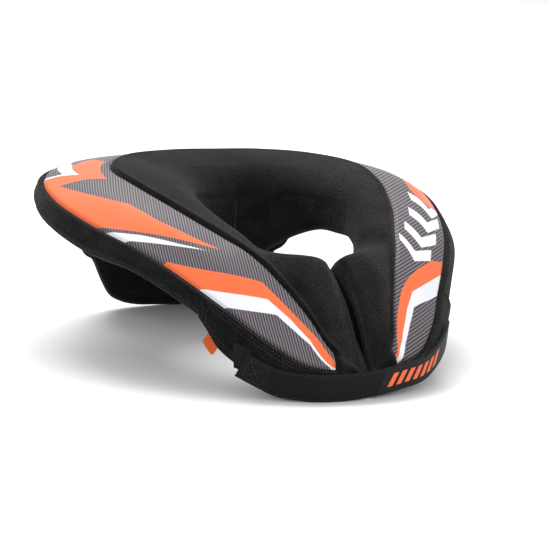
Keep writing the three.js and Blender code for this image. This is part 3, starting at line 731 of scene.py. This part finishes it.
def strap_grid(starts, ends, columns, rows=24):
    """A stretch of the strap: a ring round its section at each place along it, with slanted ends."""
    share = np.linspace(0, 1, columns)[:, None]
    up = np.linspace(0, 1, rows)
    level = np.concatenate([up, up[::-1]])[None, :]
    outside = np.concatenate([np.ones(rows), np.zeros(rows)])[None, :]
    edge = np.minimum(level, 1 - level) * STRAP_WIDTH
    start = starts[0] + (starts[1] - starts[0]) * level
    end = ends[0] + (ends[1] - ends[0]) * level
    signed = start + (end - start) * share
    table = strap_table(signed.ravel())
    height = table[:, 0].reshape(signed.shape)
    off = table[:, 1].reshape(signed.shape)
    reach = border_reach(np.abs(signed.ravel())).reshape(signed.shape)
    half = STRAP_THICKNESS / 2
    bulge = np.sqrt(np.clip(1 - (np.clip(half - edge, 0, None) / half) ** 2, 0.02, 1))
    middle = reach + SEAT + PATCH_THICKNESS * off + half
    radius = middle + half * bulge * (2 * outside - 1)
    grid = on_radius(radius, signed, (height + level) * STRAP_WIDTH)
    along = np.radians(signed) * reach
    weave = np.stack([along, level * STRAP_WIDTH + 0 * along, 0 * along], -1)
    return grid, weave


def add_strap(web, label):
    slant = STRAP_SLANT
    first, last = STRAP_PATH[0][0], STRAP_PATH[-1][0]
    joint = (LABEL_START - 0.2, LABEL_START + slant - 0.2)
    grid, weave = strap_grid((first, first + slant), joint, 150)
    piece = mesh_from_grid("strap_webbing", grid, fields={"weave": weave})
    finish_piece(piece, web, "webbing", "strap_web")
    joint = (LABEL_START, LABEL_START + slant)
    grid, weave = strap_grid(joint, (last, last), 220)
    bars = label_bars(weave)
    piece = mesh_from_grid("strap_label_tape", grid, fields={"weave": weave, "bars": bars})
    finish_piece(piece, label, "label", "strap_label")


def label_bars(weave):
    """Distance inside the label's slanted bars, in metres."""
    along, across = weave[..., 0], weave[..., 1]
    pitch, width, lean, bars = 0.0078, 0.0046, 0.55, 7
    start, half_height = 0.0135, 0.0045
    run = along - start - lean * (across - STRAP_WIDTH / 2)
    number = np.floor(run / pitch)
    within = width / 2 - np.abs(run - (number + 0.5) * pitch)
    tall = half_height - np.abs(across - 0.5 * STRAP_WIDTH)
    inside = np.minimum(within, tall)
    return np.where((number >= 0) & (number < bars), inside, -0.001)


def patch_skin(side, angles, shares, off):
    """Points on a patch, off the border. The shares run from its hanging edge to its upper edge."""
    table = smooth([row[0] for row in PATCH_EDGE], [row[1:] for row in PATCH_EDGE], angles)
    points, marks = outlines(angles, dict.fromkeys(CONTROLS, 12), crowded=False)
    band = points[:, marks["rim"] : marks["seam_out"] + 1].copy()
    reach = band[..., 0].max(1)
    below = np.arange(band.shape[1])[None, :] < band[..., 0].argmax(1)[:, None]
    band[..., 0] = np.where(below, reach[:, None], band[..., 0])
    way = np.gradient(band, axis=1)
    normal = np.stack([way[..., 1], -way[..., 0]], -1)
    normal /= np.linalg.norm(normal, axis=-1, keepdims=True)
    drop = np.maximum(0.001, table[:, 1] * STRAP_WIDTH * (1 if side < 0 else LEFT_DROP))
    low = np.stack([reach, band[:, 0, 1] - drop], 1)[:, None]
    line = np.concatenate([low, band], axis=1)
    normal = np.concatenate([normal[:, :1], normal], axis=1)
    run = run_lengths(line)
    top = table[:, 0] * (band.shape[1] - 1) + 1
    result = np.empty((*shares.shape, 2))
    for k, row in enumerate(run):
        length = np.interp(top[k], np.arange(len(row)), row)
        for axis in range(2):
            at = np.interp(shares[k] * length, row, line[k, :, axis])
            result[k, :, axis] = at + off[k] * np.interp(shares[k] * length, row, normal[k, :, axis])
    return placed(result, angles, side)


def add_patch(name, side, last, material, thread, node):
    """A patch on the border, with a raised bound edge and two rows of stitches."""
    first = PATCH_EDGE[0][0]
    columns, rows = 150, 44
    angles = np.linspace(first, last, columns)
    shares = np.broadcast_to(np.linspace(0, 1, rows), (columns, rows))
    from_end = np.radians(np.minimum(angles - first, last - angles))[:, None] * PATCH_RADIUS
    edge = np.minimum(np.minimum(shares, 1 - shares) * PATCH_HEIGHT, from_end)
    relief = 0.0004 * np.exp(-(((edge - 0.001) / 0.0009) ** 2)) - groove(edge - 0.0026, 0.0003, 0.0005)
    relief -= groove(edge, 0.0007, 0.0005)
    near = SEAT + 0.0001
    outer = patch_skin(side, angles, shares, near + PATCH_THICKNESS + relief)
    back = shares[:, ::-8]
    inner = patch_skin(side, angles, back, np.full(back.shape, near))
    piece = mesh_from_grid(name, np.concatenate([outer, inner], axis=1))
    finish_piece(piece, material, "patch", node)
    lines = []
    for inset in (0.0027, 0.0052):
        turn = math.degrees(inset / PATCH_RADIUS)
        inside = np.linspace(first + turn, last - turn, 120)
        low, high = inset / PATCH_HEIGHT, 1 - inset / PATCH_HEIGHT
        for share in (low, high):
            level = np.full((len(inside), 1), share)
            off = np.full(level.shape, near + PATCH_THICKNESS)
            lines.append(patch_skin(side, inside, level, off)[:, 0])
        for angle in (inside[0], inside[-1]):
            up = np.linspace(low, high, 40)[None]
            off = np.full(up.shape, near + PATCH_THICKNESS)
            lines.append(patch_skin(side, np.array([angle]), up, off)[0])
    add_stitches(name + "_stitches", lines, thread, "patch")


def add_stitches(name, lines, material, slot, pitch=0.0027, length=0.0019, radius=0.00022):
    """Short stitches, thick in the middle, along lines of points."""
    starts, ends = [], []
    for line in lines:
        line = settled(line)
        run = run_lengths(line[None])[0]
        at = np.arange(pitch / 2, run[-1] - length, pitch)
        starts.append(np.stack([np.interp(at, run, line[:, k]) for k in range(3)], 1))
        ends.append(np.stack([np.interp(at + length, run, line[:, k]) for k in range(3)], 1))
    start, end = np.concatenate(starts), np.concatenate(ends)
    way = (end - start) / np.linalg.norm(end - start, axis=1)[:, None]
    side = np.cross(way, (0.31, 0.23, 0.92))
    side /= np.linalg.norm(side, axis=1)[:, None]
    up = np.cross(way, side)
    sides, rings = 6, 5
    turns = np.radians(np.arange(sides) * 360 / sides)
    shares = np.array([0, 0.15, 0.5, 0.85, 1])
    widths = radius * np.array([0.35, 0.85, 1.0, 0.85, 0.35])
    middle = start[:, None] + (end - start)[:, None] * shares[None, :, None]
    spread = np.cos(turns)[:, None] * side[:, None, None] + np.sin(turns)[:, None] * up[:, None, None]
    co = (middle[:, :, None] + spread * widths[None, :, None, None]).reshape(-1, 3)
    faces = []
    for base in range(0, len(co), sides * rings):
        for ring in range(base, base + sides * (rings - 1), sides):
            for k in range(sides):
                a = ring + k
                b = ring + (k + 1) % sides
                faces.append((a, b, b + sides, a + sides))
        faces.append(tuple(range(base + sides - 1, base - 1, -1)))
        faces.append(tuple(range(base + sides * (rings - 1), base + sides * rings)))
    mesh = bpy.data.meshes.new(name)
    mesh.from_pydata(co.tolist(), [], faces)
    mesh.shade_smooth()
    piece = bpy.data.objects.new(name, mesh)
    bpy.context.scene.collection.objects.link(piece)
    return finish_piece(piece, material, slot)


def strap_line(signed, level, lift=0.0001):
    """Points on the strap's outer face, at signed angles and shares of its width."""
    signed, level = np.broadcast_arrays(np.asarray(signed, float), np.asarray(level, float))
    height, off = strap_table(signed).T
    radius = border_reach(np.abs(signed)) + SEAT + PATCH_THICKNESS * off + STRAP_THICKNESS + lift
    return on_radius(radius, signed, (height + level) * STRAP_WIDTH)


def add_strap_stitches(thread, dark):
    """A box with a cross at the folded end, a row at the label's start, and one along each edge."""
    first, last = STRAP_PATH[0][0], STRAP_PATH[-1][0]
    share = np.linspace(0, 1, 40)
    left, right, low, high = first + 1.6, first + 7.6, 0.14, 0.86
    corners = [(left, low), (right, low), (right, high), (left, high), (left, low), (right, high)]
    box = list(zip(corners[:-1], corners[1:])) + [((left, high), (right, low))]
    lines = []
    for (a, v), (b, w) in box:
        level = v + (w - v) * share
        lines.append(strap_line(a + (b - a) * share + STRAP_SLANT * level, level))
    level = 0.08 + 0.84 * share
    lines.append(strap_line(LABEL_START + 1 + STRAP_SLANT * level, level))
    add_stitches("strap_box_stitches", lines, thread, "webbing")
    along = np.linspace(first + 3.5, last - 1, 300)
    edges = [strap_line(along, 0.925), strap_line(along, 0.075)]
    add_stitches("strap_edge_stitches", edges, dark, "webbing", pitch=0.0022, length=0.0014)


def add_anchor(material):
    """The short grey webbing behind the strap's folded end."""
    angles = np.linspace(-ANCHOR_BACK, -ANCHOR_FRONT, 40)[:, None]
    level = np.concatenate([np.linspace(0, 1, 20), np.linspace(1, 0, 20)])[None, :]
    outside = np.repeat([0.0, 1.0], 20)[None, :]
    signed = angles + ANCHOR_SLANT * (1 - level)
    reach = border_reach(-signed.ravel()).reshape(signed.shape)
    low = strap_table(np.maximum(signed, STRAP_PATH[0][0]).ravel())[:, 0].reshape(signed.shape) + 0.25
    rounding = np.sqrt(np.clip(1 - (2 * level - 1) ** 10, 0.05, 1))
    half = ANCHOR_THICKNESS / 2
    radius = reach + 2 * SEAT + 0.0001 + PATCH_THICKNESS + half + half * rounding * (2 * outside - 1)
    grid = on_radius(radius, signed, low * STRAP_WIDTH + level * ANCHOR_HEIGHT)
    along = np.radians(signed) * reach
    weave = np.stack([along, level * ANCHOR_HEIGHT + 0 * along, 0 * along], -1)
    piece = mesh_from_grid("anchor_webbing", grid, fields={"weave": weave})
    finish_piece(piece, material, "anchor_webbing", "strap_anchor")


def add_tab(material, thread):
    """The pull tab: a folded ribbed ribbon that points out and down from under the right rim."""
    a = math.radians(TAB_ANGLE)
    outwards = Vector((-math.sin(a), -math.cos(a), 0))
    backwards = Vector((-math.cos(a), math.sin(a), 0))
    along = (backwards * 0.45 + Vector((0, 0, -0.91))).normalized()
    across = (outwards * 0.75 - backwards + Vector((0, 0, -0.5))).normalized()
    normal = across.cross(along)
    along = normal.cross(across)
    rim_height = section_controls(np.array([TAB_ANGLE]))[0, CONTROLS.index("rim"), 1]
    root = outwards * (border_reach(TAB_ANGLE)[0] - TAB_ROOT_INSET)
    root += Vector((0, PLAN_CENTRE_Y, rim_height - TAB_ROOT_DROP)) + normal * TAB_THICKNESS / 2
    fold_turn = np.linspace(0.2, math.pi / 2, 8)
    down = np.append(np.linspace(0, 0.94, 90), 1 - 0.06 * (1 - np.sin(fold_turn)))[:, None]
    turn = np.linspace(0, 2 * math.pi, 48, endpoint=False)[None, :]
    corner = 0.0016
    past = np.clip(down * TAB_LENGTH - (TAB_LENGTH - corner), 0, corner)
    half_width = TAB_WIDTH / 2 - (corner - np.sqrt(corner**2 - past**2)) * 0.9
    fold = np.sqrt(np.clip(1 - (past / corner) ** 2, 0.03, 1))
    wide = np.sign(np.cos(turn)) * np.abs(np.cos(turn)) ** 0.3 * half_width
    rib = 0.00012 * np.cos(2 * math.pi * wide / 0.0016)
    slit = groove(np.sin(turn), 0.0005, 0.3) * np.sign(np.cos(turn))
    thick = np.sign(np.sin(turn)) * np.abs(np.sin(turn)) ** 0.3 * (TAB_THICKNESS / 2 * fold - 0.00012 + rib)
    wide = wide - slit
    grid = np.stack([wide, down * TAB_LENGTH + 0 * wide, thick], -1) @ np.array([across, along, normal])
    weave = np.stack([wide, down * TAB_LENGTH + 0 * wide, 0 * wide], -1)
    piece = mesh_from_grid("tab_ribbon", grid + np.array(root), fields={"weave": weave})
    finish_piece(piece, material, "tab", "pull_tab")
    share = np.linspace(-0.8, 0.8, 30)[:, None] * TAB_WIDTH / 2
    face = np.array(root + normal * (TAB_THICKNESS / 2 + 0.00005))
    rows = [face + share * np.array(across) + np.array(along) * place for place in (0.0035, 0.0055)]
    add_stitches("tab_stitches", rows, thread, "tab")


def underside_height(x, y):
    """Height of the collar's underside over a plan point."""
    radius = math.hypot(x, y - PLAN_CENTRE_Y)
    angle = math.degrees(math.atan2(abs(x), PLAN_CENTRE_Y - y))
    points, marks = outlines(np.array([angle]), dict.fromkeys(CONTROLS, 4), crowded=False)
    run = points[0, marks["foot"] : marks["rim"]]
    return np.interp(radius, run[:, 0], run[:, 1])


def flap_low(share):
    """Height of the flap's lower edge, at a share of its half width."""
    across, up = zip(*FLAP_OUTLINE)
    return smooth(across, up, np.abs(share))[:, 0] * FLAP_DEPTH - FLAP_DROP


def flap_middle(x):
    """Where the flap's middle plane lies along y."""
    setback = section_controls(np.array([180.0]))[0, CONTROLS.index("rim"), 0] - FLAP_INSET
    return PLAN_CENTRE_Y + setback - x**2 / (2 * FLAP_PLAN_RADIUS)


def add_flap(material, thread):
    """The back flap: a padded sheet with a rounded edge and a seam sewn through it."""
    seam_inset = 0.008
    turn = math.pi / 2 * 0.92
    share = np.sin(np.linspace(-1, 1, 131) * turn) / math.sin(turn)
    x = share * FLAP_HALF_WIDTH
    low = flap_low(share)
    middle = flap_middle(x)
    half = FLAP_THICKNESS / 2
    edge = np.radians(np.linspace(0, 180, 13))
    up = np.linspace(0, 1, 42)[1:]
    ring = []
    for face in (1, -1):
        top = np.array([underside_height(a, b + face * half) for a, b in zip(x, middle)]) - 1.5 * SEAT
        z = low[:, None] + half + (top - low - half)[:, None] * up[None, :]
        ring.append((np.broadcast_to((middle + face * half)[:, None], z.shape), z, face))
    bottom_y = middle[:, None] - half * np.cos(edge)[None, :]
    bottom_z = low[:, None] + half * (1 - np.sin(edge))[None, :]
    y = np.concatenate([bottom_y, ring[0][0], ring[1][0][:, ::-1]], axis=1)
    z = np.concatenate([bottom_z, ring[0][1], ring[1][1][:, ::-1]], axis=1)
    face = np.concatenate([-np.cos(edge), np.ones(41), -np.ones(41)])[None, :]
    line = np.stack([np.linspace(-1, 1, 600) * FLAP_HALF_WIDTH, flap_low(np.linspace(-1, 1, 600))], 1)
    near = np.hypot(x[:, None, None] - line[:, 0], z[..., None] - line[:, 1]).min(-1)
    depth = groove(near - seam_inset, 0.0016, 0.0016) - groove(near - seam_inset / 2, 0.0003, 0.002)
    y = y - depth * face
    grid = np.stack([np.broadcast_to(x[:, None], y.shape), y, z], -1)
    piece = mesh_from_grid("flap_pad", grid)
    finish_piece(piece, material, "cover", "back_flap")
    way = np.gradient(line, axis=0)
    way /= np.linalg.norm(way, axis=1)[:, None]
    inside = line + np.stack([-way[:, 1], way[:, 0]], 1) * seam_inset
    inside = inside[np.abs(inside[:, 0]) < FLAP_HALF_WIDTH - seam_inset]
    lines = []
    for face in (1, -1):
        depth = flap_middle(inside[:, 0]) + face * (half - 0.0014)
        lines.append(np.stack([inside[:, 0], depth, inside[:, 1]], 1))
    add_stitches("flap_stitches", lines, thread, "cover")
    return piece


# Floor and light
def add_floor():
    size = 20
    mesh = bpy.data.meshes.new("floor")
    corners = [(-size, -size, 0), (size, -size, 0), (size, size, 0), (-size, size, 0)]
    mesh.from_pydata(corners, [], [(0, 1, 2, 3)])
    floor = bpy.data.objects.new("floor", mesh)
    bpy.context.scene.collection.objects.link(floor)
    mesh.materials.append(plain_floor("floor"))


def add_light(name, place, aim, size, power):
    data = bpy.data.lights.new(name, "AREA")
    data.shape = "RECTANGLE"
    data.size, data.size_y = size
    data.energy = power
    light = bpy.data.objects.new(name, data)
    bpy.context.scene.collection.objects.link(light)
    light.location = place
    light.rotation_euler = (Vector(aim) - Vector(place)).to_track_quat("-Z", "Y").to_euler()


def add_lights():
    world = bpy.data.worlds.new("world")
    bpy.context.scene.world = world
    world.use_nodes = True
    world.node_tree.nodes["Background"].inputs["Color"].default_value = (1, 1, 1, 1)
    world.node_tree.nodes["Background"].inputs["Strength"].default_value = 0.78
    add_light("overhead", (0.5, 2.2, 4.6), (0, 0, 0.05), (4, 3), 260)
    add_light("front_fill", (-3.6, -4.6, 2.4), (0, 0, 0.05), (3, 2.5), 95)
    bpy.context.scene.view_settings.view_transform = "Standard"


add_floor()
add_lights()
cover = brushed_cover("brushed_cover")
add_cover(cover)
print_right = printed_panel("print_right", (0.831, -0.444, 0.336), pitch=0.00175)
print_left = printed_panel("print_left", (-0.378, 0.422, 0.824), pitch=0.0022)
add_panel("panel_print_right", -1, RIGHT_ORANGE, RIGHT_WHITE, RIGHT_GREY, print_right, "panel_right")
add_panel("panel_print_left", 1, LEFT_ORANGE, LEFT_WHITE, [], print_left, "panel_left")
strap_black = webbing("strap_black", (0.0008, 0.0008, 0.001, 1), (0.017, 0.017, 0.021, 1), rib=0.0016)
add_strap(strap_black, woven_label("label_tape"))
black_thread = thread_material("black_thread", (0.005, 0.005, 0.006, 1))
add_strap_stitches(thread_material("grey_thread", (0.012, 0.012, 0.014, 1)), black_thread)
add_anchor(webbing("anchor_grey", (0.005, 0.005, 0.0055, 1), (0.017, 0.017, 0.018, 1)))
binding = brushed_cover("patch_cloth")
add_patch("patch_cloth_right", -1, PATCH_EDGE[-1][0], binding, black_thread, "anchor_patch_right")
add_patch("patch_cloth_left", 1, LEFT_PATCH_END, binding, black_thread, "anchor_patch_left")
add_tab(
    webbing("tab_orange", (0.68, 0.1, 0.02, 1), (0.95, 0.19, 0.05, 1), rib=0.0016, roughness=0.6),
    thread_material("orange_thread", (0.9, 0.3, 0.14, 1)),
)
add_flap(cover, black_thread)
